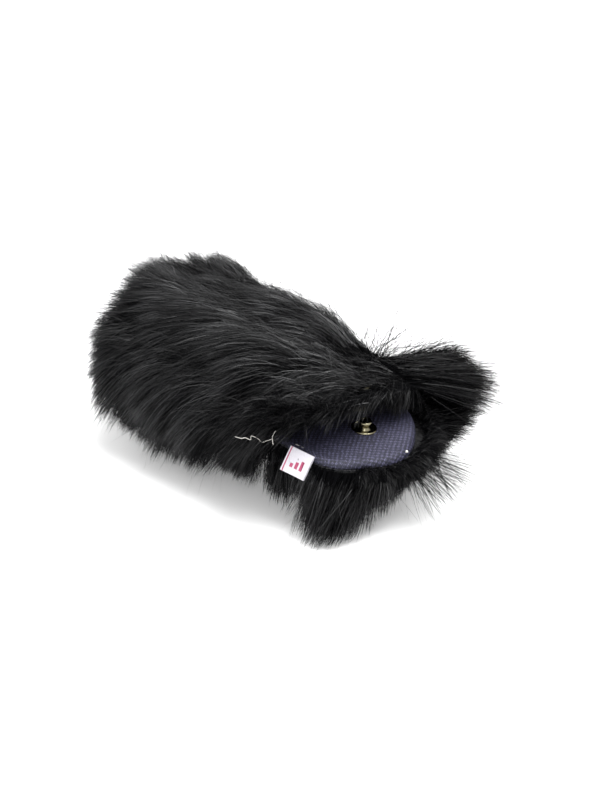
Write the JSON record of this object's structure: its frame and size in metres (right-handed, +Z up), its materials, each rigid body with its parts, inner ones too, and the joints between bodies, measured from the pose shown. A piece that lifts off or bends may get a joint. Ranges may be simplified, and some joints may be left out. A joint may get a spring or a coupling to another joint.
{
  "type": "furry windscreen",
  "caption": "Slip-on long-pile fur windscreen with a lined pocket, an arched lip, a fold-down tongue with a press stud, and a side label.",
  "frame": {"origin": "centre of the bounding box's bottom face, where the cover lies on its base panel", "axes": "+X from the closed end to the mouth and tongue, +Z up; the label is on the -Y side"},
  "size_m": [0.201, 0.112, 0.081],
  "materials": {
    "black_pile": "long pile",
    "foam": "open cell",
    "navy_mesh": "fine mesh weave",
    "black_tape": "woven tape",
    "dark_thread": "thread",
    "white_thread": "thread",
    "antique_brass": "darkened, polished high spots",
    "spring_steel": "bright wire",
    "woven_label": "satin-woven ribbon"
  },
  "bodies": {
    "cover": {"fur_nose_panel": "black_pile", "fur_top_panel": "black_pile", "fur_base_panel": "black_pile", "foam_nose": "foam", "foam_top": "foam", "foam_base": "foam", "lining_nose": "navy_mesh", "lining_top": "navy_mesh", "lining_base": "navy_mesh", "side_seam_tape_left": "black_tape", "side_seam_tape_right": "black_tape", "nose_seam_tape": "black_tape", "mouth_stitching": "dark_thread", "corner_tacks": "dark_thread", "loose_thread": "white_thread"},
    "lip": {"lip_fur": "black_pile", "lip_lining": "navy_mesh", "lip_binding": "black_tape", "stud_socket": "antique_brass", "socket_spring": "spring_steel", "socket_cap": "antique_brass"},
    "tongue": {"tongue_fur": "black_pile", "tongue_foam": "foam", "tongue_lining": "navy_mesh", "press_stud": "antique_brass", "stud_eyelet": "antique_brass", "label_stitching": "white_thread", "thread_knot": "white_thread"},
    "label": {"label": "woven_label"}
  },
  "joints": [
    {"name": "tongue_fold", "type": "hinge", "parent": "cover", "child": "tongue", "pos_m": [0.034, 0, 0.041], "axis": [0, -1, 0], "range_deg": [-32, 23.5]},
    {"name": "lip_lift", "type": "hinge", "parent": "cover", "child": "lip", "pos_m": [0.034, 0, 0.079], "axis": [0, -1, 0], "range_deg": [0, 25]},
    {"name": "label_flip", "type": "hinge", "parent": "tongue", "child": "label", "pos_m": [0.0535, -0.0362, 0.03864], "axis": [-0.9654, -0.2052, 0.1608], "range_deg": [-15, 45]}
  ]
}
